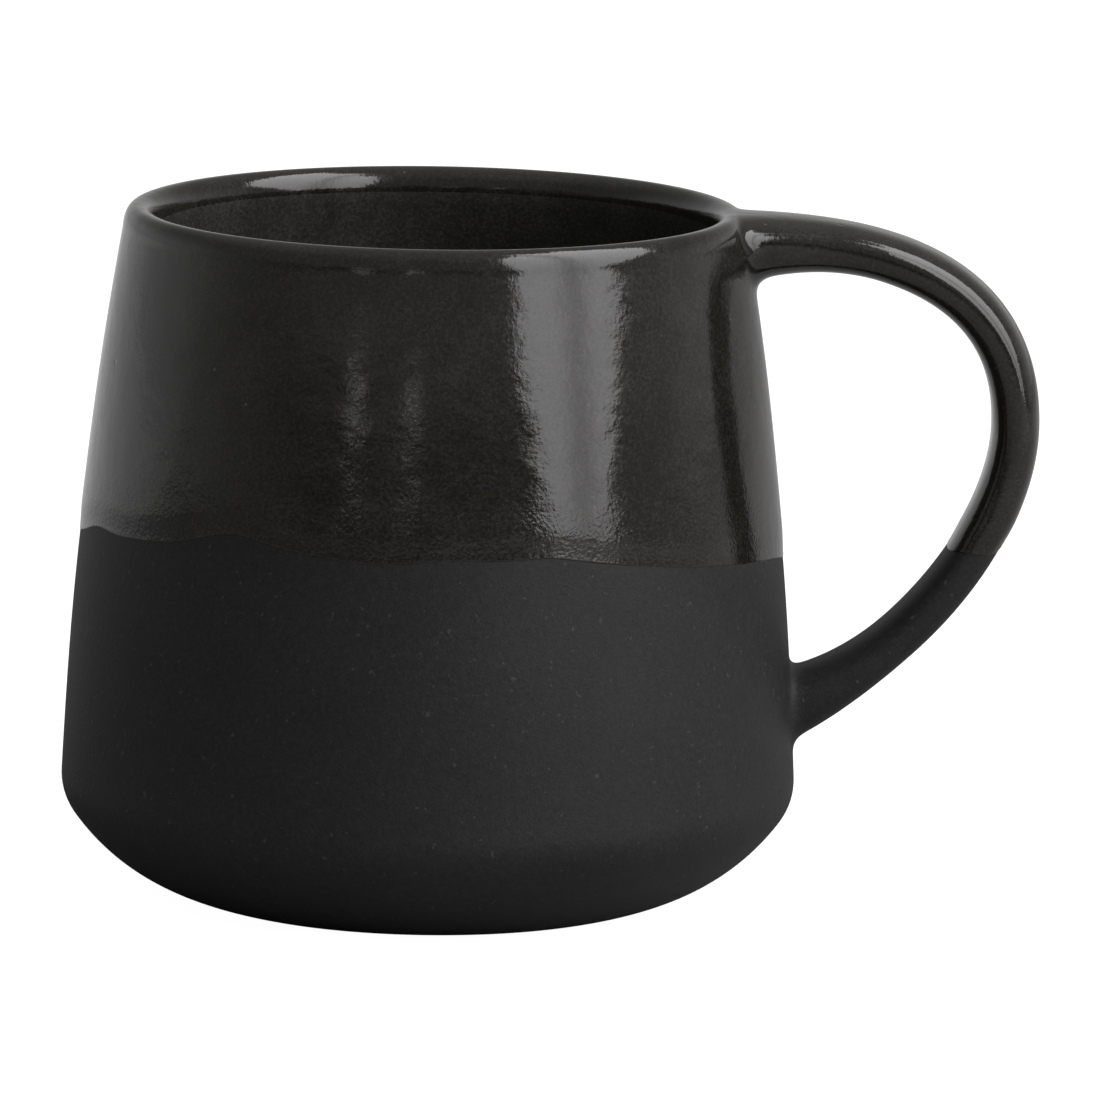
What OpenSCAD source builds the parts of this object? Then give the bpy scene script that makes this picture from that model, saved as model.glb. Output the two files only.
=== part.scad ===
// Stoneware mug: a thrown vessel with a bevelled foot, a pulled strap handle stuck on with slip,
// a glaze liner inside and a dip coat over the upper half. Bare clay shows on the lower half.
// Frame: origin at the centre of the foot, +Z up, handle towards +X. Millimetres.

/* [Vessel] */
// Height of the bare clay rim above the foot
rim_h = 94; // [86:0.5:104]
// Radius of the vessel at its widest, at the top of the bevel
shoulder_r = 50; // [48:0.5:53]
// Height of the shoulder, where the bevel meets the wall
shoulder_h = 14; // [12:0.5:17]
// Radius of the foot that stands on the table
foot_r = 30.5; // [29:0.5:33]
// Radius of the outside of the lip
lip_r = 42; // [41.5:0.25:43]
// Thickness of the clay at the lip
lip_t = 3.9; // [3.4:0.1:4.3]
// Thickness of the clay wall near the floor
wall_t = 4; // [3.6:0.1:4.8]
// Height of the clay floor inside
floor_h = 6.5; // [6:0.25:8]
// How far the wall bows out between shoulder and lip
wall_bow = 1.3; // [0.8:0.1:1.8]
// How far the bevel bulges out between foot and shoulder
bevel_bow = 2.6; // [1.5:0.1:3]

/* [Foot] */
// Radius of the hollow trimmed under the foot
recess_r = 25; // [20:0.5:27]
// Depth of that hollow
recess_d = 1.2; // [0.8:0.1:2]

/* [Handle] */
// Reach of the strap's middle line from the axis
reach = 79; // [76:0.5:84]
// Height of the strap where it reaches furthest
grip_h = 65.7; // [62:0.1:69]
// Height of the strap's middle line where it leaves the lower wall
root_h = 26; // [24:0.5:30]
// Thickness of the strap
strap_t = 6; // [5.4:0.1:7]
// Width of the strap
strap_w = 14; // [12:0.5:16]
// How much the strap thickens where it joins the wall
root_gain = 2.2; // [1.5:0.1:3]
// Squareness of the strap's section, where 2 is an ellipse
squareness = 2.6; // [2:0.1:3.2]

/* [Joints] */
// How far the slip spreads round the strap on the wall
slip_spread = 1.8; // [1.2:0.1:2.2]
// How far the slip runs out along the strap
slip_run = 4; // [3:0.5:6]

/* [Glaze] */
// Thickness of the glaze
glaze_t = 0.25; // [0.2:0.05:0.35]
// Height of the dip line at the axis
dip_h = 49; // [40:0.5:60]
// Slope of the dip line down towards the handle, in degrees
dip_slope_x = 1; // [0:0.25:3]
// Slope of the dip line down towards the back, in degrees
dip_slope_y = 6.3; // [0:0.1:8]

/* [Hidden] */
CLAY = [0.17, 0.165, 0.165];
SLIP = [0.2, 0.19, 0.19];
LINER = [0.08, 0.075, 0.07];
GLAZE = [0.12, 0.11, 0.1];

// Round of the foot's outer edge, and how far it has risen where the bevel begins
foot_round = 0.8;
foot_rise = 0.35;
// The lip is highest a little nearer the outside
crest_in = 1.74;
crest_r = lip_r - crest_in;
// Drop of the outer and inner roundings of the lip below its crest
lip_drop_out = 2.8;
lip_drop_in = 3;
// How far the wall's inward lean carries on over the outer rounding
lip_lean = 0.2;
// Length of wall and of bevel that the shoulder's rounding takes up
shoulder_round = 1.6;
// Inside radius where the wall would meet the floor, and the run of the curve between them
inner_r = shoulder_r - wall_t;
floor_curve = 14.5;
// Start of the strap's middle line, inside the crest of the lip, so that its top lies level with the rim
strap_start_x = 40;
root_x = 46;
strap_top_h = rim_h - strap_t / 2;
// Facets round the vessel, and along each part of its outline
lathe_sides = 120;
foot_steps = 3;
bevel_steps = 8;
corner_steps = 4;
wall_steps = 14;
lip_steps = 6;
inner_steps = 12;
floor_steps = 8;
// Facets round the strap and along each of its two curves
sides = 28;
steps = 22;
// Part of the strap's length over which each root thickens
root_share = 0.2;
// Thinnest edge of a slip joint
feather = 0.12;
// Reach of cutting blocks beyond the mug
far = 200;

// Points along a curve that leaves p and reaches q towards the corner c
function turn(p, c, q, n) = [for (i = [0:n]) let (t = i / n)
    p * pow(1 - t, 2) + c * 2 * t * (1 - t) + q * pow(t, 2)];

// Points along a line from p to q that bows to its right by b
function bow(p, q, b, n) = [for (i = [0:n]) let (t = i / n, d = (q - p) / norm(q - p))
    p + (q - p) * t + [d.y, -d.x] * 4 * b * t * (1 - t)];

// Unit normal to the right of a line at its point i
function side_of(line, i) =
    let (a = line[max(i - 1, 0)], b = line[min(i + 1, len(line) - 1)], d = (b - a) / norm(b - a))
    [d.y, -d.x];

// The line moved to its right by d
function beside(line, d) = [for (i = [0:len(line) - 1]) line[i] + side_of(line, i) * d];

// Everything after the first point of a line
function rest_of(line) = [for (i = [1:len(line) - 1]) line[i]];

// The outline runs from under the floor, out and up the wall, over the lip and down inside
foot_line = concat(
    [[0, recess_d], [recess_r - 2, recess_d], [recess_r, 0]],
    turn([foot_r - foot_round, 0], [foot_r, 0], [foot_r + foot_round, foot_rise], foot_steps));
full_wall = bow([shoulder_r, shoulder_h], [lip_r, rim_h - lip_drop_out], wall_bow, wall_steps);
full_bevel = bow([foot_r, 0], [shoulder_r, shoulder_h], bevel_bow, bevel_steps);
wall_dir = (full_wall[1] - full_wall[0]) / norm(full_wall[1] - full_wall[0]);
bevel_end = full_bevel[bevel_steps - 1] - full_bevel[bevel_steps];
bevel_dir = bevel_end / norm(bevel_end);
corner = [shoulder_r, shoulder_h];
shoulder_line = turn(
    corner + bevel_dir * shoulder_round, corner, corner + wall_dir * shoulder_round, corner_steps);
bevel_line = [for (i = [1:bevel_steps - 1]) full_bevel[i]];
wall_line = rest_of(full_wall);
crest = [crest_r, rim_h];
lip_inside = [lip_r - lip_t, rim_h - lip_drop_in];
lip_line = concat(
    rest_of(turn([lip_r, rim_h - lip_drop_out], [lip_r - lip_lean, rim_h], crest, lip_steps)),
    rest_of(turn(crest, [lip_r - lip_t, rim_h], lip_inside, lip_steps)));
floor_start = [inner_r, floor_h + floor_curve];
inner_line = rest_of(bow(lip_inside, floor_start, -wall_bow, inner_steps));
floor_line = concat(
    rest_of(turn(floor_start, [inner_r, floor_h], [inner_r - floor_curve, floor_h], floor_steps)),
    [[0, floor_h]]);
coat_line = concat(wall_line, lip_line, inner_line, floor_line);
lip_end = len(wall_line) + len(lip_line) - 1;

// Middle line of the strap: two curves that meet where it reaches furthest
top_curve = [[strap_start_x, strap_top_h], [59, strap_top_h + 0.2],
    [reach, grip_h + 21.2], [reach, grip_h]];
low_curve = [[reach, grip_h], [reach, grip_h - 16], [reach - 17.2, root_h + 4.3], [root_x, root_h]];

function along(c, t) = c[0] * pow(1 - t, 3) + c[1] * 3 * t * pow(1 - t, 2)
    + c[2] * 3 * t * t * (1 - t) + c[3] * pow(t, 3);

strap_line = concat(
    [for (i = [0:steps]) along(top_curve, i / steps)],
    [for (i = [1:steps]) along(low_curve, i / steps)]);
last = len(strap_line) - 1;

// How much a root has thickened at station i: outwards at the lower root only, inwards at both
function upper_gain(i) = root_gain * pow(max(0, 1 - i / last / root_share), 2);
function lower_gain(i) = root_gain * pow(max(0, 1 - (last - i) / last / root_share), 2);

// Distance of a station from the wall, and the extra girth that the slip gives there
function from_wall(i) = norm([strap_line[i].x, 0]) - shoulder_r
    + (strap_line[i].y - shoulder_h) * (shoulder_r - lip_r) / (rim_h - shoulder_h);
function slip_gain(i) = feather + slip_spread * pow(max(0, 1 - max(0, from_wall(i)) / slip_run), 2);

// Half height or half width of a squared oval in one direction
function oval(size, c) = size * sign(c) * pow(abs(c), 2 / squareness);

// One ring of points round the strap at station i, grown by g
function ring(i, g) =
    let (n = side_of(strap_line, i) * -1, out = strap_t / 2 + lower_gain(i) + g,
         in = strap_t / 2 + upper_gain(i) + lower_gain(i) + g, half_w = strap_w / 2 + g)
    [for (k = [0:sides - 1]) let (c = cos(360 * k / sides), s = sin(360 * k / sides),
         d = oval(c > 0 ? out : in, c))
        [strap_line[i].x + n.x * d, oval(half_w, s), strap_line[i].y + n.y * d]];

// Closed tube through rings a to b, each grown by the matching entry of grow
module tube(a, b, grow) {
    rings = [for (i = [a:b]) each ring(i, grow[i])];
    n = b - a;
    walls = [for (i = [0:n - 1], k = [0:sides - 1]) let (j = (k + 1) % sides, p = i * sides)
        each [[p + k, p + j, p + sides + j], [p + k, p + sides + j, p + sides + k]]];
    near_end = [for (k = [1:sides - 2]) [0, k + 1, k]];
    far_end = [for (k = [1:sides - 2]) [n * sides, n * sides + k, n * sides + k + 1]];
    polyhedron(rings, concat(walls, near_end, far_end));
}

// Outer shape of the vessel with its glaze, solid right through
module vessel_block(g) {
    raised = beside(coat_line, g);
    crest_at = len(wall_line) + lip_steps - 1;
    rotate_extrude($fn = lathe_sides)
        polygon(concat([[0, recess_d]], rest_of(foot_line), bevel_line, shoulder_line,
            [for (i = [0:crest_at]) raised[i]], [[0, rim_h + g]]));
}

module vessel() {
    color(CLAY)
        rotate_extrude($fn = lathe_sides)
            polygon(concat(foot_line, bevel_line, shoulder_line, coat_line));
}

module whole_strap(g) {
    tube(0, last, [for (i = [0:last]) g]);
}

// Slip round one root, out to g beyond its surface and level with the rim at the top
module slip_bulk(a, b, g) {
    intersection() {
        tube(a, b, [for (i = [0:last]) slip_gain(i) + g]);
        translate([-far, -far, 0])
            cube([2 * far, 2 * far, rim_h + g]);
    }
}

// Stations that the slip covers at the upper and the lower root
upper_end = max([for (i = [0:steps]) if (from_wall(i) < slip_run) i]) + 1;
lower_end = min([for (i = [steps:last]) if (from_wall(i) < slip_run) i]) - 1;

module handle() {
    color(CLAY)
        difference() {
            whole_strap(0);
            vessel_block(0);
        }
}

module upper_slip_joint() {
    color(SLIP)
        difference() {
            slip_bulk(0, upper_end, 0);
            whole_strap(0);
            vessel_block(0);
        }
}

module lower_slip_joint() {
    color(SLIP)
        difference() {
            slip_bulk(lower_end, last, 0);
            whole_strap(0);
            vessel_block(0);
        }
}

// Everything below the dip line, which is the level of the glaze that the mug was dipped in
module below_dip() {
    translate([0, 0, dip_h])
        rotate([-dip_slope_y, dip_slope_x, 0])
            translate([-far, -far, -far])
                cube([2 * far, 2 * far, far]);
}

// Coat on the outline between points a and b
module coat(a, b) {
    raised = beside(coat_line, glaze_t);
    rotate_extrude($fn = lathe_sides)
        polygon(concat([for (i = [a:b]) coat_line[i]], [for (i = [b:-1:a]) raised[i]]));
}

module liner_glaze() {
    color(LINER)
        coat(lip_end, len(coat_line) - 1);
}

module dip_glaze() {
    color(GLAZE)
        difference() {
            coat(0, lip_end);
            below_dip();
            slip_bulk(0, upper_end, 0);
        }
}

module handle_dip_glaze() {
    color(GLAZE)
        difference() {
            union() {
                whole_strap(glaze_t);
                slip_bulk(0, upper_end, glaze_t);
            }
            whole_strap(0);
            slip_bulk(0, upper_end, 0);
            vessel_block(glaze_t);
            below_dip();
        }
}

vessel();
handle();
upper_slip_joint();
lower_slip_joint();
liner_glaze();
dip_glaze();
handle_dip_glaze();
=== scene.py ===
"""Stoneware mug: bare charcoal clay below, a dark dip glaze above, and a pulled strap handle."""

import math
import bpy
import numpy as np
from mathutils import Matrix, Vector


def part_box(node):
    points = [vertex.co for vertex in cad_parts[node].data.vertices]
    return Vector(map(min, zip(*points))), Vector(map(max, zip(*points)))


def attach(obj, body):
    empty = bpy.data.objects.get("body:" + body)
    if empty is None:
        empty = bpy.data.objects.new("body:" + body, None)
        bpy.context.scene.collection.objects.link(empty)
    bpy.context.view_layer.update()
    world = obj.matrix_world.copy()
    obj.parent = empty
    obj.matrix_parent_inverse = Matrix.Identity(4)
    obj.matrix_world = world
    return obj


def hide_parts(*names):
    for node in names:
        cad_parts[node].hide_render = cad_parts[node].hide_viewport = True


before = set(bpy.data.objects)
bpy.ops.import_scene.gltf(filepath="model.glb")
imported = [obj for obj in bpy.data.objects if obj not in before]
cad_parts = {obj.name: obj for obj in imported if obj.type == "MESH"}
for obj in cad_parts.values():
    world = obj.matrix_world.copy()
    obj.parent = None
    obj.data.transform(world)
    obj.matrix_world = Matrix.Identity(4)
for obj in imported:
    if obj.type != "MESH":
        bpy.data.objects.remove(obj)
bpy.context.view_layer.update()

# ---------------------------------------------------------------- sizes, in metres
MM = 0.001
VESSEL_LOW, VESSEL_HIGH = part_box("vessel")
HANDLE_LOW, HANDLE_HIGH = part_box("handle")
RIM_H = VESSEL_HIGH.z
SHOULDER_R = 50 * MM
SHOULDER_H = 14 * MM
FOOT_R = 30.5 * MM
FOOT_ROUND = 0.8 * MM
FOOT_RISE = 0.35 * MM
LIP_R = 42 * MM
LIP_T = 3.9 * MM
LIP_DROP_OUT = 2.8 * MM
LIP_DROP_IN = 3 * MM
LIP_LEAN = 0.2 * MM
CREST_IN = 1.74 * MM
CREST_R = LIP_R - CREST_IN
WALL_T = 4 * MM
WALL_BOW = 1.3 * MM
BEVEL_BOW = 2.6 * MM
SHOULDER_ROUND = 2.2 * MM
FLOOR_H = 6.5 * MM
FLOOR_CURVE = 14.5 * MM
RECESS_R = 25 * MM
RECESS_D = 1.2 * MM
INNER_R = SHOULDER_R - WALL_T

# The strap's middle line, with its reach and its thickness worked out from the frame
STRAP_T = 6 * MM
STRAP_W = HANDLE_HIGH.y - HANDLE_LOW.y
REACH = HANDLE_HIGH.x - STRAP_T / 2
GRIP_H = 65.7 * MM
ROOT_H = 26 * MM
STRAP_START = 40 * MM
ROOT_X = 46 * MM
TOP_PULL_X = 59 * MM
TOP_PULL_RISE = 0.2 * MM
PULL_ABOVE_GRIP = 21.2 * MM
PULL_BELOW_GRIP = 16 * MM
ROOT_PULL_IN = 17.2 * MM
ROOT_PULL_RISE = 4.3 * MM
TOP_GAIN = 3.4 * MM
TOP_FLARE = 2.0 * MM
TOP_DROP = 0.1 * MM
LOW_GAIN = 2.2 * MM
ROOT_SHARE = 0.2
FLARE_SHARE = 0.13
SQUARENESS = 2.6

# Glaze, with the thin nose at its lower edge, and the slip fillets round the roots
GLAZE_T = 0.25 * MM
EDGE_T = 0.1 * MM
EDGE_RUN = 4 * MM
DIP_H = 48.4 * MM
STRAP_DIP_H = 49.2 * MM
UPPER_FILLET = 3.4 * MM
LOWER_FILLET = 2.2 * MM
TOP_RUN = 2.2 * MM
SLIP_FULLNESS = 0.72
FILLET_POWER = 2.3

# How far coats, collars and fillets reach into what they cover, so that no gap shows
SINK = 0.006 * MM
BURIED_OUT = 1.25
BURIED_IN = 0.12
COAT_SUNK = 0.02 * MM
SLIP_SUNK = 0.1 * MM

# The dip coat's lowest rows move whole; the rows above them stretch to follow the dip line
HELD_ROWS = 2.5 * MM

# The dip line falls towards the handle and towards the back
DIP_FALL_X = 1.1 * MM
DIP_FALL_Y = 5.6 * MM
WALL_R_AT_DIP = 47 * MM
DIP_SLOPE_X = DIP_FALL_X / WALL_R_AT_DIP
DIP_SLOPE_Y = DIP_FALL_Y / WALL_R_AT_DIP

# Steps round the vessel, round the strap, along the strap and across a fillet
TURN_STEPS = 320
STRAP_SIDES = 72
STRAP_ROWS = 110
FILLET_ROWS = 12


# ---------------------------------------------------------------- outlines
def turn(start, corner, end, count):
    """Points of a curve that leaves start and reaches end towards the corner."""
    t = np.linspace(0, 1, count + 1)[:, None]
    return np.array(start) * (1 - t) ** 2 + 2 * np.array(corner) * t * (1 - t) + np.array(end) * t ** 2


def bow(start, end, rise, count):
    """Points from start to end along a line that bows to its right."""
    t = np.linspace(0, 1, count + 1)[:, None]
    start = np.array(start)
    way = np.array(end) - start
    right = np.array([way[1], -way[0]]) / np.hypot(*way)
    return start + way * t + right * 4 * rise * t * (1 - t)


def right_of(line):
    """Unit normals to the right of a line of points."""
    way = np.gradient(line, axis=0)
    way /= np.hypot(way[:, 0], way[:, 1])[:, None]
    return np.column_stack([way[:, 1], -way[:, 0]])


def without_repeats(line):
    """The line without points that lie on the one before."""
    gap = np.hypot(*np.diff(line, axis=0).T)
    return line[np.concatenate([[True], gap > 1e-7])]


def foot_line():
    recess = [[0, RECESS_D], [RECESS_R - 6 * MM, RECESS_D]]
    step = turn([RECESS_R - 2 * MM, RECESS_D], [RECESS_R - 1 * MM, RECESS_D],
                [RECESS_R - 0.6 * MM, 0.5 * MM], 5)
    ring = turn([RECESS_R - 0.6 * MM, 0.5 * MM], [RECESS_R, 0], [RECESS_R + 1 * MM, 0], 4)
    edge = turn([FOOT_R - FOOT_ROUND, 0], [FOOT_R, 0], [FOOT_R + FOOT_ROUND, FOOT_RISE], 6)
    return np.concatenate([recess, step, ring, edge])


def bevel_and_shoulder():
    bevel = bow([FOOT_R, 0], [SHOULDER_R, SHOULDER_H], BEVEL_BOW, 40)
    wall = bow([SHOULDER_R, SHOULDER_H], [LIP_R, RIM_H - LIP_DROP_OUT], WALL_BOW, 60)
    corner = np.array([SHOULDER_R, SHOULDER_H])
    bevel = bevel[np.hypot(*(bevel - corner).T) > SHOULDER_ROUND]
    wall = wall[np.hypot(*(wall - corner).T) > SHOULDER_ROUND]
    return np.concatenate([bevel[2:], turn(bevel[-1], corner, wall[0], 8)])


def wall_line():
    wall = bow([SHOULDER_R, SHOULDER_H], [LIP_R, RIM_H - LIP_DROP_OUT], WALL_BOW, 60)
    return wall[np.hypot(wall[:, 0] - SHOULDER_R, wall[:, 1] - SHOULDER_H) > SHOULDER_ROUND]


def lip_line():
    out = turn([LIP_R, RIM_H - LIP_DROP_OUT], [LIP_R - LIP_LEAN, RIM_H], [CREST_R, RIM_H], 14)
    inside = [LIP_R - LIP_T, RIM_H]
    return np.concatenate([out, turn([CREST_R, RIM_H], inside, [LIP_R - LIP_T, RIM_H - LIP_DROP_IN], 12)])


def inside_line():
    wall = bow([LIP_R - LIP_T, RIM_H - LIP_DROP_IN], [INNER_R, FLOOR_H + FLOOR_CURVE], -WALL_BOW, 40)
    low = turn([INNER_R, FLOOR_H + FLOOR_CURVE], [INNER_R, FLOOR_H], [INNER_R - FLOOR_CURVE, FLOOR_H], 20)
    return np.concatenate([wall, low, [[12 * MM, FLOOR_H], [0, FLOOR_H]]])


def wall_radius(height):
    """Radius of the bare outer wall at a height."""
    t = (height - SHOULDER_H) / (RIM_H - LIP_DROP_OUT - SHOULDER_H)
    return SHOULDER_R + (LIP_R - SHOULDER_R) * t + 4 * WALL_BOW * t * (1 - t)


def bump_at(angle, centre, width):
    """A smooth hump of height 1 round the vessel, in degrees."""
    away = (angle - centre + 180) % 360 - 180
    return np.exp(-(away / width) ** 2)


def dip_line(turned):
    """Height of the glaze's edge at each angle round the vessel, 0 at the handle and -90 in front."""
    degrees = np.degrees(turned)
    height = DIP_H - DIP_FALL_X * np.cos(turned) - DIP_FALL_Y * np.sin(turned)
    height = height + 1.0 * MM * bump_at(degrees, -160, 8)
    height = height + 1.9 * MM * bump_at(degrees, -124, 9)
    height = height - 1.0 * MM * bump_at(degrees, -99, 8)
    height = height + 0.7 * MM * bump_at(degrees, -69, 6)
    height = height - 0.4 * MM * bump_at(degrees, -41, 14)
    height = height + 0.7 * MM * bump_at(degrees, 40, 10)
    height = height - 0.8 * MM * bump_at(degrees, 85, 14)
    height = height + 0.9 * MM * bump_at(degrees, 130, 9)
    return height + 0.05 * MM * np.sin(17 * turned) + 0.03 * MM * np.sin(29 * turned + 1)


def hand_made(points):
    """Moves points a few hundredths of a millimetre, as a thrown wall is never quite true."""
    angle = np.arctan2(points[:, 1], points[:, 0])
    height = points[:, 2]
    rings = np.sin(height / (5.2 * MM) + 0.6 * np.sin(angle)) * 0.020 * MM
    oval = np.cos(2 * angle + 0.7) * 0.05 * MM
    soft = np.sin(5 * angle + height / (9 * MM)) * 0.015 * MM
    above = np.clip((height - 4 * MM) / (10 * MM), 0, 1)
    grow = (rings + oval + soft) * above
    moved = points.copy()
    moved[:, 0] += grow * np.cos(angle)
    moved[:, 1] += grow * np.sin(angle)
    return moved


# ---------------------------------------------------------------- making meshes
def pick_only(piece):
    bpy.ops.object.select_all(action="DESELECT")
    piece.select_set(True)
    bpy.context.view_layer.objects.active = piece


def edit(piece):
    pick_only(piece)
    bpy.ops.object.mode_set(mode="EDIT")
    bpy.ops.mesh.select_all(action="SELECT")


def leave_edit():
    bpy.ops.object.mode_set(mode="OBJECT")


def points_of(piece):
    flat = np.zeros(len(piece.data.vertices) * 3)
    piece.data.vertices.foreach_get("co", flat)
    return flat.reshape(-1, 3)


def move_points(piece, points):
    piece.data.vertices.foreach_set("co", np.ascontiguousarray(points, dtype=np.float64).ravel())
    piece.data.update()


def draw_outline(name, line):
    """An outline in the XZ plane, drawn from one corner by extruding it along the line."""
    bpy.ops.object.select_all(action="DESELECT")
    bpy.ops.mesh.primitive_plane_add(size=MM, location=(0, 0, 0))
    piece = bpy.context.object
    piece.name = name
    piece.data.name = name
    edit(piece)
    bpy.ops.mesh.merge(type="CENTER")
    bpy.ops.transform.translate(value=(line[0][0], 0, line[0][1]))
    for step in np.diff(line, axis=0):
        bpy.ops.mesh.extrude_region_move(TRANSFORM_OT_translate={"value": (step[0], 0, step[1])})
    leave_edit()
    return piece


def close_up(piece):
    """Merges what meets, turns the faces outwards and smooths the shading except at real edges."""
    edit(piece)
    bpy.ops.mesh.remove_doubles(threshold=0.0005 * MM)
    bpy.ops.mesh.delete_loose(use_verts=False, use_edges=True, use_faces=False)
    bpy.ops.mesh.select_all(action="SELECT")
    bpy.ops.mesh.normals_make_consistent(inside=False)
    leave_edit()
    bpy.ops.object.shade_smooth_by_angle(angle=math.radians(50))


def spin_outline(name, line):
    """The outline thrown round the upright axis into a closed body."""
    piece = draw_outline(name, line)
    edit(piece)
    bpy.ops.mesh.spin(steps=TURN_STEPS, angle=2 * math.pi, center=(0, 0, 0), axis=(0, 0, 1))
    leave_edit()
    close_up(piece)
    return piece


def wrap_sheet(name, rows):
    """A flat grid wrapped onto rows of points; a seam where the rows meet is left for close_up or cap_ends to
    merge into a closed tube.
    """
    across = rows.shape[1] - 1
    along = rows.shape[0] - 1
    bpy.ops.object.select_all(action="DESELECT")
    bpy.ops.mesh.primitive_grid_add(x_subdivisions=across, y_subdivisions=along, size=1)
    piece = bpy.context.object
    piece.name = name
    piece.data.name = name
    flat = points_of(piece)
    column = np.rint((flat[:, 0] + 0.5) * across).astype(int)
    row = np.rint((flat[:, 1] + 0.5) * along).astype(int)
    move_points(piece, rows[row, column])
    return piece


def cap_ends(piece):
    """Fills the two open ends of a tube."""
    edit(piece)
    bpy.ops.mesh.remove_doubles(threshold=0.0005 * MM)
    bpy.ops.mesh.select_all(action="DESELECT")
    bpy.ops.mesh.select_non_manifold()
    bpy.ops.mesh.edge_face_add()
    leave_edit()


# ---------------------------------------------------------------- vessel and its glaze
def make_vessel():
    line = [foot_line(), bevel_and_shoulder(), wall_line(), lip_line(), inside_line()]
    vessel = spin_outline("vessel_clay", without_repeats(np.concatenate(line)))
    move_points(vessel, hand_made(points_of(vessel)))
    return vessel


def edge_thickness(from_edge):
    """Glaze thickness at a distance from its edge: a small round nose that swells to the even coat."""
    nose = np.clip(from_edge / EDGE_T, 0, 1)
    swell = np.clip(from_edge / EDGE_RUN, 0, 1)
    even = EDGE_T + (GLAZE_T - EDGE_T) * swell * swell * (3 - 2 * swell)
    return even * np.sqrt(1 - (1 - nose) ** 2)


def make_dip_glaze():
    """The coat is thrown with a level edge, then its rows are stretched down or up to the dip line."""
    near_edge = np.array([0, 0.005, 0.02, 0.05, 0.1, 0.2, 0.4, 0.7, 1.1, 1.6, 2.2, 2.8, 3.4, 4.0]) * MM
    level = DIP_H
    top = RIM_H - LIP_DROP_OUT
    heights = np.concatenate([level + near_edge, np.linspace(level + 4.6 * MM, top, 56)])
    wall = np.column_stack([wall_radius(heights), heights])
    under = without_repeats(np.concatenate([wall, lip_line()]))
    thick = np.full(len(under), GLAZE_T)
    thick[:len(heights)] = edge_thickness(heights - level)
    over = under + right_of(under) * thick[:, None]
    sunk = under - right_of(under) * COAT_SUNK
    closed = np.concatenate([over, sunk[::-1], over[:1]])
    glaze = spin_outline("dip_glaze_coat", without_repeats(closed))
    points = points_of(glaze)
    angle = np.arctan2(points[:, 1], points[:, 0])
    radius = np.hypot(points[:, 0], points[:, 1])
    outside = (radius > CREST_R) & (points[:, 2] < top)
    near = points[:, 2] - level
    stretched = np.maximum(near - HELD_ROWS, 0) / (top - level - HELD_ROWS)
    shift = (dip_line(angle) - level) * np.clip(1 - stretched, 0, 1)
    moved = points[:, 2] + np.where(outside, shift, 0)
    grown = radius + np.where(outside, wall_radius(moved) - wall_radius(points[:, 2]), 0)
    points[:, 0] = grown * np.cos(angle)
    points[:, 1] = grown * np.sin(angle)
    points[:, 2] = moved
    move_points(glaze, hand_made(points))
    return glaze


def make_liner_glaze():
    under = without_repeats(inside_line())
    over = under + right_of(under) * GLAZE_T
    over[-1, 0] = 0
    lap = lip_line()[-5:-1]
    lapped = lap + right_of(lap) * GLAZE_T * 0.5
    whole = np.concatenate([lap, under])
    sunk = whole - right_of(whole) * COAT_SUNK
    sunk[-1, 0] = 0
    closed = np.concatenate([lapped, over, sunk[::-1], lapped[:1]])
    liner = spin_outline("liner_glaze_coat", without_repeats(closed))
    move_points(liner, hand_made(points_of(liner)))
    return liner


# ---------------------------------------------------------------- strap handle
def cubic(a, b, c, d, count):
    t = np.linspace(0, 1, count + 1)[:, None]
    a, b, c, d = (np.array(point) for point in (a, b, c, d))
    return a * (1 - t) ** 3 + 3 * b * t * (1 - t) ** 2 + 3 * c * t * t * (1 - t) + d * t ** 3


def strap_middle():
    """The strap's middle line in the XZ plane, at even spacing from the rim to the lower wall."""
    start_h = RIM_H - STRAP_T / 2 - TOP_DROP
    upper = cubic([STRAP_START, start_h], [TOP_PULL_X, start_h + TOP_PULL_RISE],
                  [REACH, GRIP_H + PULL_ABOVE_GRIP], [REACH, GRIP_H], 400)
    lower = cubic([REACH, GRIP_H], [REACH, GRIP_H - PULL_BELOW_GRIP],
                  [REACH - ROOT_PULL_IN, ROOT_H + ROOT_PULL_RISE], [ROOT_X, ROOT_H], 400)
    line = np.concatenate([upper, lower[1:]])
    length = np.concatenate([[0], np.cumsum(np.hypot(*np.diff(line, axis=0).T))])
    even = np.linspace(0, length[-1], 1601)
    return np.column_stack([np.interp(even, length, line[:, i]) for i in (0, 1)]), length[-1]


MIDDLE, STRAP_LENGTH = strap_middle()
OUTWARD = -right_of(MIDDLE)


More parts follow.
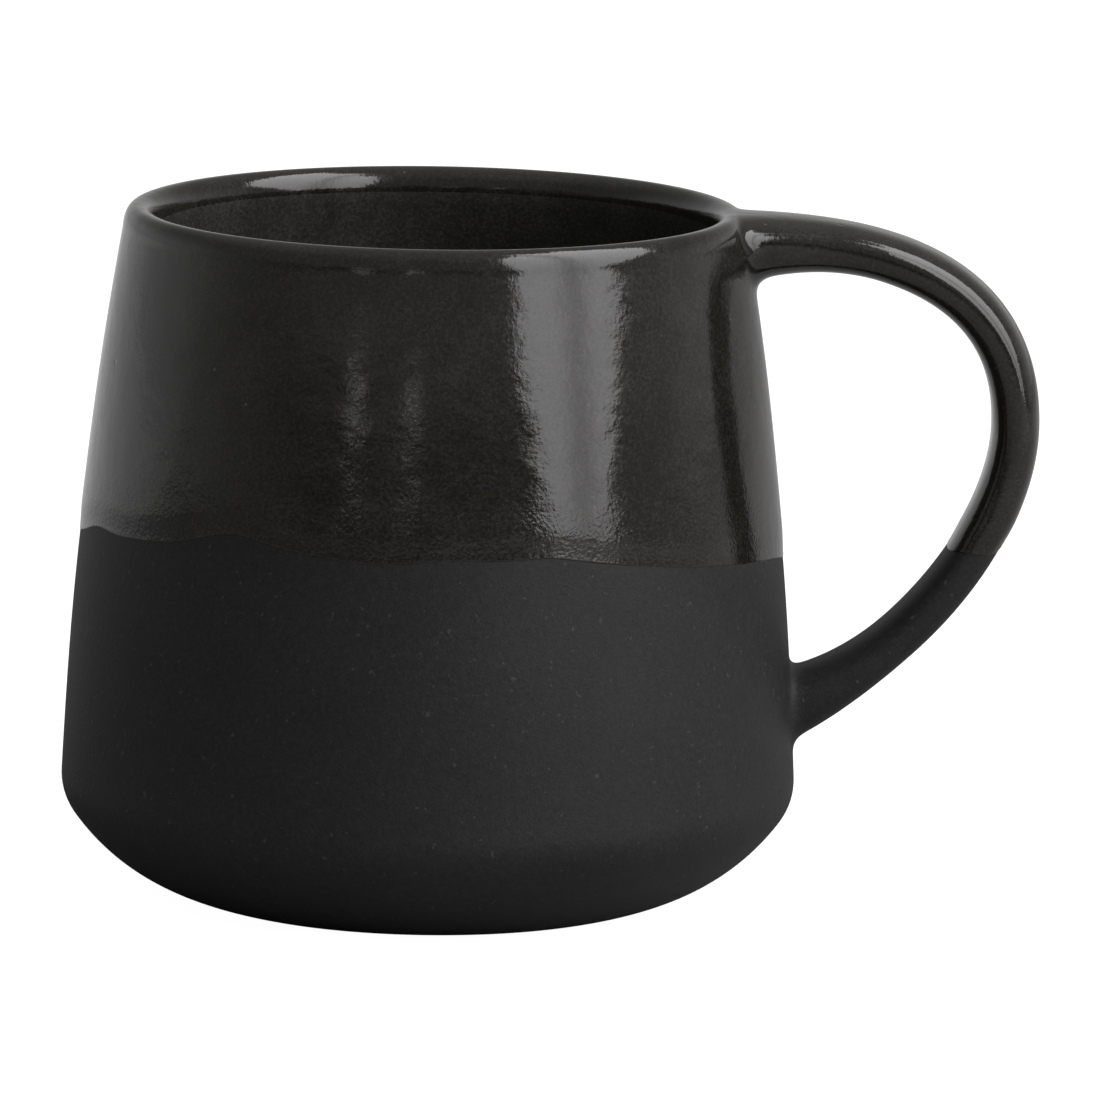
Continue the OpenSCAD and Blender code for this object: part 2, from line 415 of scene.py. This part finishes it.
def on_strap(share, angle, lift):
    """Points on the strap at a share of its length and an angle round it, lifted off its surface."""
    share, angle, lift = np.broadcast_arrays(share, angle, lift)
    place = share * (len(MIDDLE) - 1)
    index = np.arange(len(MIDDLE))
    mid_x = np.interp(place, index, MIDDLE[:, 0])
    mid_z = np.interp(place, index, MIDDLE[:, 1])
    out_x = np.interp(place, index, OUTWARD[:, 0])
    out_z = np.interp(place, index, OUTWARD[:, 1])
    upper_gain = TOP_GAIN * np.clip(1 - share / ROOT_SHARE, 0, None) ** 2
    lower_gain = LOW_GAIN * np.clip(1 - (1 - share) / ROOT_SHARE, 0, None) ** 2
    near_top = np.clip(1 - share / FLARE_SHARE, 0, None)
    half_wide = STRAP_W / 2 + TOP_FLARE * near_top ** 2
    across = np.cos(angle)
    side = np.sin(angle)
    half = STRAP_T / 2 + lower_gain + np.where(across > 0, 0, upper_gain)
    power = 2 / SQUARENESS
    rise = half * np.sign(across) * np.abs(across) ** power
    wide = half_wide * np.sign(side) * np.abs(side) ** power
    lean = 2 * (SQUARENESS - 1) / SQUARENESS
    face_up = np.sign(across) * np.abs(across) ** lean / half
    face_out = np.sign(side) * np.abs(side) ** lean / half_wide
    size = np.hypot(face_up, face_out)
    rise = rise + lift * face_up / size
    wide = wide + lift * face_out / size
    return np.stack([mid_x + out_x * rise, wide, mid_z + out_z * rise], axis=-1)


def vessel_skin():
    """The vessel's bare surface near the handle, from the shoulder over the lip."""
    parts = [bevel_and_shoulder()[-6:], wall_line(), lip_line(), inside_line()[:12]]
    return without_repeats(np.concatenate(parts))


SKIN = vessel_skin()


def off_vessel(points):
    """Distance of points from the vessel's bare surface, below zero inside the clay."""
    radius = np.hypot(points[..., 0], points[..., 1]).ravel()
    flat = np.column_stack([radius, points[..., 2].ravel()])
    best = np.full(len(flat), np.inf)
    signed = np.full(len(flat), np.inf)
    for start, end in zip(SKIN[:-1], SKIN[1:]):
        way = end - start
        t = np.clip((flat - start) @ way / (way @ way), 0, 1)
        gap = flat - start - t[:, None] * way
        far = np.hypot(gap[:, 0], gap[:, 1])
        out = np.where(gap[:, 0] * way[1] - gap[:, 1] * way[0] >= 0, 1, -1)
        closer = far < best
        best = np.where(closer, far, best)
        signed = np.where(closer, far * out, signed)
    return signed.reshape(points.shape[:-1])


def where_at(shares, angles, lift, target):
    """Share along the strap at which a lifted line round it first comes within target of the vessel."""
    grid = on_strap(shares[:, None], angles[None, :], lift[None, :])
    gap = off_vessel(grid) - target[None, :]
    inside = gap <= 0
    first = np.where(inside.any(axis=0), inside.argmax(axis=0), len(shares) - 1)
    first = np.maximum(first, 1)
    column = np.arange(len(angles))
    before = gap[first - 1, column]
    after = gap[first, column]
    part = np.clip(before / np.where(before - after == 0, 1, before - after), 0, 1)
    return shares[first - 1] + (shares[first] - shares[first - 1]) * part


def fillet_size(root, angles, skin):
    """How far up the strap and out on the vessel the slip reaches at each angle round the strap."""
    if root == "lower":
        return np.full(len(angles), LOWER_FILLET), np.full(len(angles), LOWER_FILLET)
    edge = on_strap(0.03, angles, skin)[:, 2]
    below = np.clip(0.8 * (RIM_H + skin - edge), 0.03 * MM, UPPER_FILLET)
    return TOP_RUN + (UPPER_FILLET - TOP_RUN) * below / UPPER_FILLET, below


def root_rows(root, angles, skin, fullness=1.0):
    """Rows of points from just under the vessel's surface, up the fillet and onto the strap."""
    shares = np.linspace(0.25, 0.0, 260) if root == "upper" else np.linspace(0.8, 1.0, 220)
    up, out = fillet_size(root, angles, skin)
    up = up * fullness
    out = out * fullness
    outermost = skin + out * BURIED_OUT
    buried = where_at(shares, angles, outermost, skin - out * BURIED_IN)
    rows = [on_strap(buried, angles, outermost)]
    for t in np.linspace(0, 1, FILLET_ROWS + 1):
        lift = skin + out * (1 - t) ** FILLET_POWER
        share = where_at(shares, angles, lift, skin - SINK + up * t ** FILLET_POWER)
        rows.append(on_strap(share, angles, lift))
    return rows, share


def round_angles():
    return np.linspace(0, 2 * math.pi, STRAP_SIDES + 1)


def make_strap():
    angles = round_angles()
    shares = np.linspace(0, 1, STRAP_ROWS + 1)
    rows = on_strap(shares[:, None], angles[None, :], 0.0)
    strap = wrap_sheet("strap_clay", rows)
    cap_ends(strap)
    close_up(strap)
    move_points(strap, hand_made(points_of(strap)))
    return strap


def make_joint(name, root):
    """A collar of slip: the fillet outside, the strap's surface and the wall behind it."""
    angles = round_angles()
    upper = root == "upper"
    rows, reach = root_rows(root, angles, 0.0, SLIP_FULLNESS if upper else 1.0)
    inward = -0.02 if upper else 0.02
    behind = on_strap(reach + inward, angles, -SLIP_SUNK)
    loop = rows + [on_strap(reach, angles, -SLIP_SUNK), behind, rows[0]]
    joint = wrap_sheet(name, np.array(loop))
    close_up(joint)
    move_points(joint, hand_made(points_of(joint)))
    return joint


def share_at_height(angles, height):
    """Share along the strap at which each line round it passes a height, on the lower half."""
    shares = np.linspace(0.4, 0.8, 400)
    levels = on_strap(shares[:, None], angles[None, :], 0.0)[..., 2]
    return np.array([np.interp(-height[i], -levels[:, i], shares) for i in range(len(angles))])


def make_strap_glaze():
    angles = round_angles()
    edge_h = STRAP_DIP_H + 0.35 * MM * np.sin(angles + 0.5) + 0.2 * MM * np.cos(3 * angles)
    edge = share_at_height(angles, edge_h)
    top_rows, reach = root_rows("upper", angles, GLAZE_T)
    under_rows, under_reach = root_rows("upper", angles, -COAT_SUNK, SLIP_FULLNESS)
    near_edge = np.array([4.0, 3.4, 2.8, 2.2, 1.6, 1.1, 0.7, 0.4, 0.2, 0.1, 0.05, 0.02, 0.005, 0]) * MM
    over = list(top_rows)
    spacing = np.linspace(0, 1, 90)[1:]
    bare_end = edge - 4.6 * MM / STRAP_LENGTH
    for part in spacing:
        over.append(on_strap(reach + (bare_end - reach) * part, angles, GLAZE_T))
    for away in near_edge:
        over.append(on_strap(edge - away / STRAP_LENGTH, angles, edge_thickness(away)))
    under = list(under_rows)
    for part in spacing:
        under.append(on_strap(under_reach + (bare_end - under_reach) * part, angles, -COAT_SUNK))
    under.append(on_strap(edge, angles, -COAT_SUNK))
    loop = over + under[::-1] + [over[0]]
    coat = wrap_sheet("strap_glaze_coat", np.array(loop))
    close_up(coat)
    move_points(coat, hand_made(points_of(coat)))
    return coat


# ---------------------------------------------------------------- finishes
def new_group(name, inputs, outputs):
    group = bpy.data.node_groups.new(name, "ShaderNodeTree")
    for label, kind, value in inputs:
        made = group.interface.new_socket(name=label, in_out="INPUT", socket_type=kind)
        made.default_value = value
    for label, kind in outputs:
        group.interface.new_socket(name=label, in_out="OUTPUT", socket_type=kind)
    return group, group.nodes.new("NodeGroupInput"), group.nodes.new("NodeGroupOutput")


def add_noise(tree, place, size, detail, rough):
    """Noise whose grains are about size across."""
    noise = tree.nodes.new("ShaderNodeTexNoise")
    noise.inputs["Scale"].default_value = 1 / size
    noise.inputs["Detail"].default_value = detail
    noise.inputs["Roughness"].default_value = rough
    tree.links.new(place, noise.inputs["Vector"])
    return noise.outputs["Fac"]


def add_ramp(tree, value, stops):
    ramp = tree.nodes.new("ShaderNodeValToRGB")
    ramp.color_ramp.elements[0].position = stops[0][0]
    ramp.color_ramp.elements[0].color = (*stops[0][1], 1)
    ramp.color_ramp.elements[1].position = stops[-1][0]
    ramp.color_ramp.elements[1].color = (*stops[-1][1], 1)
    for position, colour in stops[1:-1]:
        ramp.color_ramp.elements.new(position).color = (*colour, 1)
    tree.links.new(value, ramp.inputs["Fac"])
    return ramp.outputs["Color"]


def add_math(tree, operation, first, second):
    """A sum, product or other operation on two values or sockets."""
    node = tree.nodes.new("ShaderNodeMath")
    node.operation = operation
    for socket, value in zip(node.inputs, (first, second)):
        if isinstance(value, (int, float)):
            socket.default_value = value
        else:
            tree.links.new(value, socket)
    return node.outputs["Value"]


def add_mix(tree, share, first, second):
    mix = tree.nodes.new("ShaderNodeMix")
    mix.data_type = "RGBA"
    tree.links.new(share, mix.inputs["Factor"])
    for socket, value in ((mix.inputs[6], first), (mix.inputs[7], second)):
        if isinstance(value, tuple):
            socket.default_value = (*value, 1)
        else:
            tree.links.new(value, socket)
    return mix.outputs[2]


def grey(value):
    return (value, value, value)


def fired_clay_group():
    """Fine sandy grain and faint cloudiness of unglazed stoneware."""
    group, given, out = new_group(
        "fired_clay",
        [("Place", "NodeSocketVector", (0, 0, 0)), ("Dark", "NodeSocketColor", (0.03, 0.03, 0.03, 1)),
         ("Light", "NodeSocketColor", (0.06, 0.06, 0.06, 1)), ("Grain", "NodeSocketFloat", 1.0)],
        [("Colour", "NodeSocketColor"), ("Roughness", "NodeSocketFloat"), ("Height", "NodeSocketFloat")])
    place = given.outputs["Place"]
    fine = add_noise(group, place, 0.32 * MM, 3, 0.6)
    sand = add_noise(group, place, 0.75 * MM, 2, 0.5)
    cloud = add_noise(group, place, 14 * MM, 3, 0.55)
    both = add_math(group, "ADD", add_math(group, "MULTIPLY", fine, 0.62),
                    add_math(group, "MULTIPLY", sand, 0.38))
    tone = add_ramp(group, both, [(0.33, grey(0)), (0.5, grey(0.45)), (0.68, grey(1))])
    speck = add_ramp(group, add_noise(group, place, 0.9 * MM, 1, 0.4), [(0.70, grey(0)), (0.78, grey(1))])
    mixed = add_mix(group, tone, given.outputs["Dark"], given.outputs["Light"])
    cloudy = add_ramp(group, cloud, [(0.3, grey(0.88)), (0.7, grey(1.1))])
    shaded = group.nodes.new("ShaderNodeMix")
    shaded.data_type = "RGBA"
    shaded.blend_type = "MULTIPLY"
    shaded.inputs["Factor"].default_value = 1
    group.links.new(mixed, shaded.inputs[6])
    group.links.new(cloudy, shaded.inputs[7])
    bright = add_mix(group, add_math(group, "MULTIPLY", speck, 0.35), shaded.outputs[2], (0.10, 0.098, 0.096))
    group.links.new(bright, out.inputs["Colour"])
    rough = add_math(group, "ADD", add_math(group, "MULTIPLY", both, 0.2), 0.46)
    group.links.new(rough, out.inputs["Roughness"])
    height = add_math(group, "MULTIPLY", both, given.outputs["Grain"])
    group.links.new(height, out.inputs["Height"])
    return group


def add_dots(tree, place, spacing, size, share):
    """Sparse round dots: 1 inside a dot, 0 outside. Share is the part of the cells that have none."""
    cell = tree.nodes.new("ShaderNodeTexVoronoi")
    cell.inputs["Scale"].default_value = 1 / spacing
    tree.links.new(place, cell.inputs["Vector"])
    radius = size / spacing
    dot = add_ramp(tree, cell.outputs["Distance"], [(0.4 * radius, grey(1)), (radius, grey(0))])
    split = tree.nodes.new("ShaderNodeSeparateColor")
    tree.links.new(cell.outputs["Color"], split.inputs["Color"])
    chosen = add_math(tree, "GREATER_THAN", split.outputs["Red"], share)
    return add_math(tree, "MULTIPLY", dot, chosen)


def above_dip(tree, place):
    """1 at the glaze's lower edge, falling to 0 a few millimetres above it."""
    level = tree.nodes.new("ShaderNodeVectorMath")
    level.operation = "DOT_PRODUCT"
    level.inputs[1].default_value = (DIP_SLOPE_X, DIP_SLOPE_Y, 1)
    tree.links.new(place, level.inputs[0])
    fade = tree.nodes.new("ShaderNodeMapRange")
    fade.interpolation_type = "SMOOTHSTEP"
    fade.inputs["From Min"].default_value = DIP_H + 1.5 * MM
    fade.inputs["From Max"].default_value = DIP_H + 11 * MM
    fade.inputs["To Min"].default_value = 1
    fade.inputs["To Max"].default_value = 0
    tree.links.new(level.outputs["Value"], fade.inputs["Value"])
    return fade.outputs["Result"]


def glaze_skin_group():
    """Glossy dark glaze: brown-black with fine crystals, pinholes, specks and a rippled skin."""
    group, given, out = new_group(
        "glaze_skin",
        [("Place", "NodeSocketVector", (0, 0, 0)), ("Deep", "NodeSocketColor", (0.01, 0.01, 0.01, 1)),
         ("Warm", "NodeSocketColor", (0.02, 0.02, 0.02, 1)), ("Ripple", "NodeSocketFloat", 1.0),
         ("Peel", "NodeSocketFloat", 1.0)],
        [("Colour", "NodeSocketColor"), ("Roughness", "NodeSocketFloat"), ("Height", "NodeSocketFloat")])
    place = given.outputs["Place"]
    cloud = add_noise(group, place, 9 * MM, 3, 0.6)
    crystal = add_noise(group, place, 0.45 * MM, 3, 0.7)
    mixed = add_math(group, "ADD", add_math(group, "MULTIPLY", cloud, 0.3),
                     add_math(group, "MULTIPLY", crystal, 0.7))
    tone = add_ramp(group, mixed, [(0.38, grey(0)), (0.5, grey(0.35)), (0.62, grey(1))])
    colour = add_mix(group, tone, given.outputs["Deep"], given.outputs["Warm"])
    specks = add_dots(group, place, 4.5 * MM, 0.30 * MM, 0.55)
    colour = add_mix(group, add_math(group, "MULTIPLY", specks, 0.8), colour, (0.11, 0.10, 0.085))
    group.links.new(colour, out.inputs["Colour"])
    sheen = add_noise(group, place, 0.6 * MM, 3, 0.6)
    rough = add_ramp(group, sheen, [(0.35, grey(0.06)), (0.65, grey(0.15))])
    group.links.new(rough, out.inputs["Roughness"])
    low = above_dip(group, place)
    swell = add_math(group, "MULTIPLY", add_noise(group, place, 4.5 * MM, 2, 0.5), given.outputs["Ripple"])
    orange = add_math(group, "MULTIPLY", add_noise(group, place, 0.5 * MM, 2, 0.5), given.outputs["Peel"])
    coarser = add_math(group, "ADD", add_math(group, "MULTIPLY", low, 2.2), 1.0)
    orange = add_math(group, "MULTIPLY", orange, coarser)
    pits = add_math(group, "MULTIPLY", add_dots(group, place, 8 * MM, 0.5 * MM, 0.6), 0.8)
    height = add_math(group, "SUBTRACT", add_math(group, "ADD", swell, orange), pits)
    group.links.new(height, out.inputs["Height"])
    return group


FIRED_CLAY = fired_clay_group()
GLAZE_SKIN = glaze_skin_group()


def new_finish(name, group, values, bump_depth):
    """A material with the group's colour, roughness and height on a Principled shader."""
    material = bpy.data.materials.new(name)
    material.use_nodes = True
    tree = material.node_tree
    shader = tree.nodes["Principled BSDF"]
    place = tree.nodes.new("ShaderNodeTexCoord")
    effect = tree.nodes.new("ShaderNodeGroup")
    effect.node_tree = group
    tree.links.new(place.outputs["Object"], effect.inputs["Place"])
    for label, value in values.items():
        effect.inputs[label].default_value = value
    bump = tree.nodes.new("ShaderNodeBump")
    bump.inputs["Distance"].default_value = bump_depth
    tree.links.new(effect.outputs["Height"], bump.inputs["Height"])
    tree.links.new(bump.outputs["Normal"], shader.inputs["Normal"])
    tree.links.new(effect.outputs["Colour"], shader.inputs["Base Color"])
    tree.links.new(effect.outputs["Roughness"], shader.inputs["Roughness"])
    return material, shader


def bare_clay():
    material, shader = new_finish(
        "bare_clay", FIRED_CLAY,
        {"Dark": (0.0135, 0.0132, 0.0135, 1), "Light": (0.029, 0.0286, 0.0288, 1), "Grain": 1.0}, 0.09 * MM)
    shader.inputs["Specular IOR Level"].default_value = 0.3
    return material


def joint_slip():
    material, shader = new_finish(
        "joint_slip", FIRED_CLAY,
        {"Dark": (0.0143, 0.014, 0.0143, 1), "Light": (0.031, 0.0306, 0.0308, 1), "Grain": 1.3}, 0.09 * MM)
    shader.inputs["Specular IOR Level"].default_value = 0.3
    return material


def dip_glaze():
    material, shader = new_finish(
        "dip_glaze", GLAZE_SKIN,
        {"Deep": (0.0085, 0.0076, 0.0062, 1), "Warm": (0.030, 0.0275, 0.023, 1), "Ripple": 1.5, "Peel": 0.27},
        0.05 * MM)
    shader.inputs["IOR"].default_value = 1.6
    return material


def liner_glaze():
    material, shader = new_finish(
        "liner_glaze", GLAZE_SKIN,
        {"Deep": (0.024, 0.0232, 0.022, 1), "Warm": (0.062, 0.060, 0.056, 1), "Ripple": 1.5, "Peel": 0.27},
        0.05 * MM)
    shader.inputs["IOR"].default_value = 1.6
    return material


def finish_piece(piece, material, node):
    """Gives a piece its finish and its body, and hides the node that it stands for."""
    piece.data.materials.clear()
    piece.data.materials.append(material)
    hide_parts(node)
    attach(piece, "root")


# ---------------------------------------------------------------- studio
def emitting(name, strength):
    material = bpy.data.materials.new(name)
    material.use_nodes = True
    tree = material.node_tree
    tree.nodes.clear()
    out = tree.nodes.new("ShaderNodeOutputMaterial")
    glow = tree.nodes.new("ShaderNodeEmission")
    glow.inputs["Strength"].default_value = strength
    tree.links.new(glow.outputs["Emission"], out.inputs["Surface"])
    return material, tree, glow


def make_floor():
    """A pale floor that goes on as far as the eye reaches."""
    bpy.ops.object.select_all(action="DESELECT")
    bpy.ops.mesh.primitive_plane_add(size=8, location=(0, 0, 0))
    floor = bpy.context.object
    floor.name = "floor"
    material = bpy.data.materials.new("pale_floor")
    material.use_nodes = True
    tree = material.node_tree
    shader = tree.nodes["Principled BSDF"]
    shader.inputs["Base Color"].default_value = (0.34, 0.34, 0.34, 1)
    shader.inputs["Roughness"].default_value = 0.95
    shader.inputs["Specular IOR Level"].default_value = 0
    shader.inputs["Emission Color"].default_value = (1, 1, 1, 1)
    place = tree.nodes.new("ShaderNodeTexCoord")
    split = tree.nodes.new("ShaderNodeSeparateXYZ")
    tree.links.new(place.outputs["Object"], split.inputs["Vector"])
    behind = tree.nodes.new("ShaderNodeMapRange")
    behind.interpolation_type = "SMOOTHSTEP"
    behind.inputs["From Min"].default_value = 0.05
    behind.inputs["From Max"].default_value = 0.45
    behind.inputs["To Min"].default_value = 0.0
    behind.inputs["To Max"].default_value = 0.45
    tree.links.new(split.outputs["Y"], behind.inputs["Value"])
    seen = tree.nodes.new("ShaderNodeLightPath")
    aside = tree.nodes.new("ShaderNodeMapRange")
    aside.interpolation_type = "SMOOTHSTEP"
    aside.inputs["From Min"].default_value = 0.04
    aside.inputs["From Max"].default_value = 0.14
    aside.inputs["To Min"].default_value = 1
    aside.inputs["To Max"].default_value = 0.35
    tree.links.new(split.outputs["X"], aside.inputs["Value"])
    lit = add_math(tree, "MULTIPLY", behind.outputs["Result"], aside.outputs["Result"])
    strength = add_math(tree, "MAXIMUM", lit,
                        add_math(tree, "MULTIPLY", seen.outputs["Is Camera Ray"], 0.98))
    tree.links.new(strength, shader.inputs["Emission Strength"])
    floor.data.materials.append(material)


def make_world():
    """White backdrop behind the mug that falls away to a dim room in front of it."""
    world = bpy.data.worlds.new("studio")
    bpy.context.scene.world = world
    world.use_nodes = True
    tree = world.node_tree
    tree.nodes.clear()
    out = tree.nodes.new("ShaderNodeOutputWorld")
    back = tree.nodes.new("ShaderNodeBackground")
    place = tree.nodes.new("ShaderNodeTexCoord")
    split = tree.nodes.new("ShaderNodeSeparateXYZ")
    tree.links.new(place.outputs["Generated"], split.inputs["Vector"])
    behind = add_math(tree, "MULTIPLY", add_math(tree, "ADD", split.outputs["Y"], 1.0), 0.5)
    wall = add_ramp(tree, behind, [
        (0.0, grey(0.03)), (0.12, grey(0.05)), (0.30, grey(0.17)), (0.49, grey(0.30)), (0.60, grey(0.42)),
        (0.75, grey(0.45)), (1.0, grey(0.50))])
    above = add_ramp(tree, split.outputs["Z"], [(0.0, grey(0.05)), (0.35, grey(0.14)), (0.85, grey(0.34))])
    low = add_ramp(tree, split.outputs["Z"], [(0.12, grey(0.0)), (0.55, grey(1.0))])
    mixed = add_mix(tree, low, wall, above)
    high = add_ramp(tree, split.outputs["Z"], [(0.03, grey(0.0)), (0.14, grey(0.2)), (0.6, grey(0.2))])
    room = add_math(tree, "MAXIMUM", mixed, high)
    seen = tree.nodes.new("ShaderNodeLightPath")
    shown = add_mix(tree, seen.outputs["Is Camera Ray"], room, (1.0, 1.0, 1.0))
    tree.links.new(shown, back.inputs["Color"])
    tree.links.new(back.outputs["Background"], out.inputs["Surface"])


def around(turned, raised, distance):
    """A point at a bearing from the front towards the handle, and at an elevation, from the mug."""
    flat = distance * math.cos(math.radians(raised))
    return (flat * math.sin(math.radians(turned)), -flat * math.cos(math.radians(turned)),
            0.06 + distance * math.sin(math.radians(raised)))


def make_softbox():
    """Tall softbox at the right, from its foot up and over: elevation, left and right bearing."""
    edges = [(-2, 39.5, 60), (2, 38, 60), (5, 34, 64), (8, 30.5, 68), (15, 28, 78), (25, 26, 90),
             (42, 28, 100), (56, 42, 112), (68, 52, 125)]
    rows = [[around(turned, raised, 0.9) for turned in np.linspace(left, right, 9)]
            for raised, left, right in edges]
    box = wrap_sheet("softbox", np.array(rows))
    material, tree, glow = emitting("softbox_cloth", 3.4)
    glow.inputs["Color"].default_value = (1.0, 0.985, 1.0, 1)
    place = tree.nodes.new("ShaderNodeTexCoord")
    split = tree.nodes.new("ShaderNodeSeparateXYZ")
    tree.links.new(place.outputs["Object"], split.inputs["Vector"])
    forward = add_math(tree, "MULTIPLY", split.outputs["Y"], -1.0)
    bearing = add_math(tree, "ARCTAN2", split.outputs["X"], forward)
    away = add_math(tree, "SUBTRACT", bearing, math.radians(51))
    aside = add_math(tree, "DIVIDE", away, math.radians(5))
    fall = add_math(tree, "MULTIPLY", add_math(tree, "MULTIPLY", aside, aside), -1.0)
    stripe = add_math(tree, "EXPONENT", fall, 0.0)
    even = add_math(tree, "ADD", add_math(tree, "MULTIPLY", split.outputs["Z"], 2.6), 2.3)
    dimmed = add_math(tree, "SUBTRACT", 1.0, add_math(tree, "MULTIPLY", stripe, 0.38))
    strength = add_math(tree, "MULTIPLY", even, dimmed)
    tree.links.new(strength, glow.inputs["Strength"])
    box.data.materials.append(material)
    box.visible_camera = False


def make_lamp(name, turned, raised, half_wide, half_high, strength):
    """Small oval lamp whose light fades to its rim."""
    spot = around(turned, raised, 1.0)
    bpy.ops.object.select_all(action="DESELECT")
    bpy.ops.mesh.primitive_circle_add(vertices=48, radius=1, fill_type="NGON", location=(0, 0, 0))
    lamp = bpy.context.object
    lamp.name = name
    lamp.scale = (half_wide, half_high, 1)
    lamp.location = spot
    lamp.rotation_euler = (math.radians(90), 0, math.radians(turned))
    material, tree, glow = emitting(name + "_light", strength)
    place = tree.nodes.new("ShaderNodeTexCoord")
    far = tree.nodes.new("ShaderNodeVectorMath")
    far.operation = "LENGTH"
    tree.links.new(place.outputs["Object"], far.inputs[0])
    fade = add_math(tree, "MAXIMUM", add_math(tree, "SUBTRACT", 1.0, far.outputs["Value"]), 0.0)
    soft = add_math(tree, "MULTIPLY", add_math(tree, "POWER", fade, 1.3), strength)
    tree.links.new(soft, glow.inputs["Strength"])
    lamp.data.materials.append(material)
    lamp.visible_camera = False


def make_camera():
    data = bpy.data.cameras.new("camera")
    data.sensor_width = 36
    data.lens = 362.65
    camera = bpy.data.objects.new("camera", data)
    bpy.context.scene.collection.objects.link(camera)
    camera.location = (0.0162, -1.48467, 0.30524)
    camera.rotation_mode = "ZYX"
    camera.rotation_euler = (math.radians(90 - 9.852), 0, math.radians(0.922))
    bpy.context.scene.camera = camera


# ---------------------------------------------------------------- assembly
CLAY = bare_clay()
SLIP = joint_slip()
DIP = dip_glaze()
LINER = liner_glaze()

finish_piece(make_vessel(), CLAY, "vessel")
finish_piece(make_strap(), CLAY, "handle")
finish_piece(make_joint("upper_joint_slip", "upper"), SLIP, "upper_slip_joint")
finish_piece(make_joint("lower_joint_slip", "lower"), SLIP, "lower_slip_joint")
finish_piece(make_liner_glaze(), LINER, "liner_glaze")
finish_piece(make_dip_glaze(), DIP, "dip_glaze")
finish_piece(make_strap_glaze(), DIP, "handle_dip_glaze")

make_floor()
make_world()
make_softbox()
make_lamp("left_lamp", turned=-25.6, raised=6.9, half_wide=0.10, half_high=0.015, strength=3.4)
make_lamp("middle_lamp", turned=-6.6, raised=6.9, half_wide=0.09, half_high=0.015, strength=3.0)
make_camera()
bpy.context.scene.view_settings.view_transform = "Standard"
